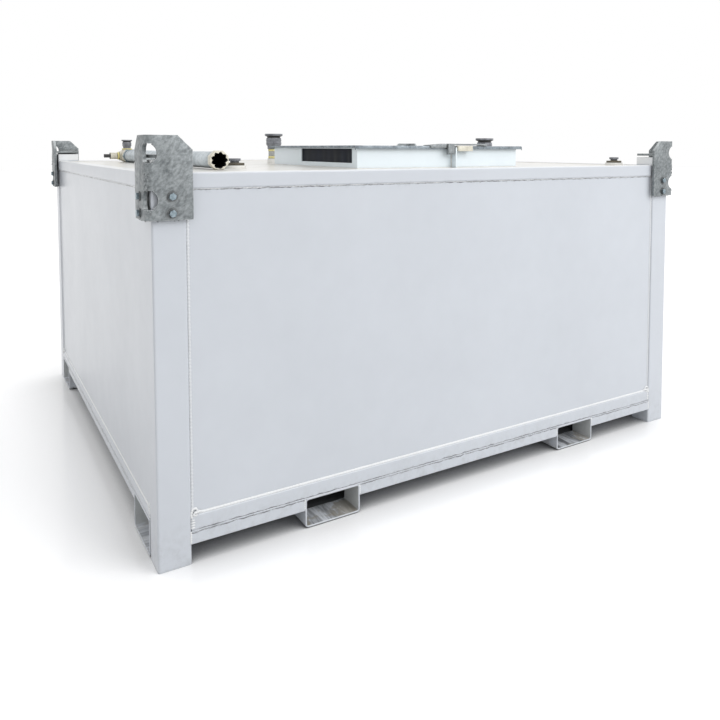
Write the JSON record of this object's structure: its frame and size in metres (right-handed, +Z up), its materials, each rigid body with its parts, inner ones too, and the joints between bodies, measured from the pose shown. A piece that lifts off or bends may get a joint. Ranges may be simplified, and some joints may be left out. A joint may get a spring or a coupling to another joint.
{
  "type": "bunded diesel fuel tank",
  "caption": "Square steel bunded diesel tank on fork pockets, with corner lifting brackets, deck vents and caps, a transfer pipe and a hinged lid over its equipment bay.",
  "frame": {"origin": "middle of the plan on the ground, under the corner posts", "axes": "+Z up, +Y from the front to the back, +X to the right seen from the front"},
  "size_m": [2.362, 2.362, 1.351],
  "materials": {
    "tank_white": "white enamel, semi-gloss",
    "bay_white": "white enamel, semi-gloss",
    "galvanised_steel": "hot dip galvanised, mottled",
    "zinc_bolts": "zinc plated",
    "lock_steel": "weathered galvanised",
    "vent_grey": "dark grey, satin",
    "cap_grey": "dark grey, matt",
    "flap_rubber": "black, matt",
    "cream_fitting": "off-white, worn",
    "valve_black": "black, matt",
    "inner_tank_steel": "primed"
  },
  "bodies": {
    "tank": {"bay_floor": "bay_white", "bay_wall_back": "bay_white", "bay_wall_front": "bay_white", "bay_wall_left": "bay_white", "bay_wall_right": "bay_white", "bottom_rail_back": "tank_white", "bottom_rail_front": "tank_white", "bottom_rail_left": "tank_white", "bottom_rail_right": "tank_white", "bracket_bolts": "zinc_bolts", "bracket_packers": "galvanised_steel", "bund_floor": "tank_white", "bund_vent": "vent_grey", "corner_post_back_left": "tank_white", "corner_post_back_right": "tank_white", "corner_post_front_left": "tank_white", "corner_post_front_right": "tank_white", "cross_pocket_back": "tank_white", "cross_pocket_front": "tank_white", "deck": "tank_white", "deck_sockets": "tank_white", "dip_cap": "cap_grey", "edge_bar_left": "tank_white", "edge_bar_right": "tank_white", "edge_bars_back": "tank_white", "edge_bars_front": "tank_white", "fill_cap": "cap_grey", "fork_pocket_left": "tank_white", "fork_pocket_right": "tank_white", "hinge_frame_halves": "tank_white", "hose_flap": "flap_rubber", "inner_tank": "inner_tank_steel", "lifting_bracket_back_left": "galvanised_steel", "lifting_bracket_back_right": "galvanised_steel", "lifting_bracket_front_left": "galvanised_steel", "lifting_bracket_front_right": "galvanised_steel", "lock_post": "tank_white", "panel_back": "tank_white", "panel_front": "tank_white", "panel_left": "tank_white", "panel_right": "tank_white", "pipe_end_ring": "cream_fitting", "pipe_tee": "galvanised_steel", "tank_vent": "vent_grey", "tee_valve": "valve_black", "tee_vent": "vent_grey", "top_rail_back": "tank_white", "top_rail_front": "tank_white", "top_rail_left": "tank_white", "top_rail_right": "tank_white", "transfer_pipe": "galvanised_steel", "vent_nipples": "galvanised_steel"},
    "lid": {"bay_lid": "galvanised_steel", "lock_bar": "lock_steel", "lid_pull": "cream_fitting"}
  },
  "joints": [
    {"name": "lid_hinge", "type": "hinge", "parent": "tank", "child": "lid", "pos_m": [0.037, -0.043, 1.28], "axis": [-1, 0, 0], "range_deg": [0, 95]}
  ]
}
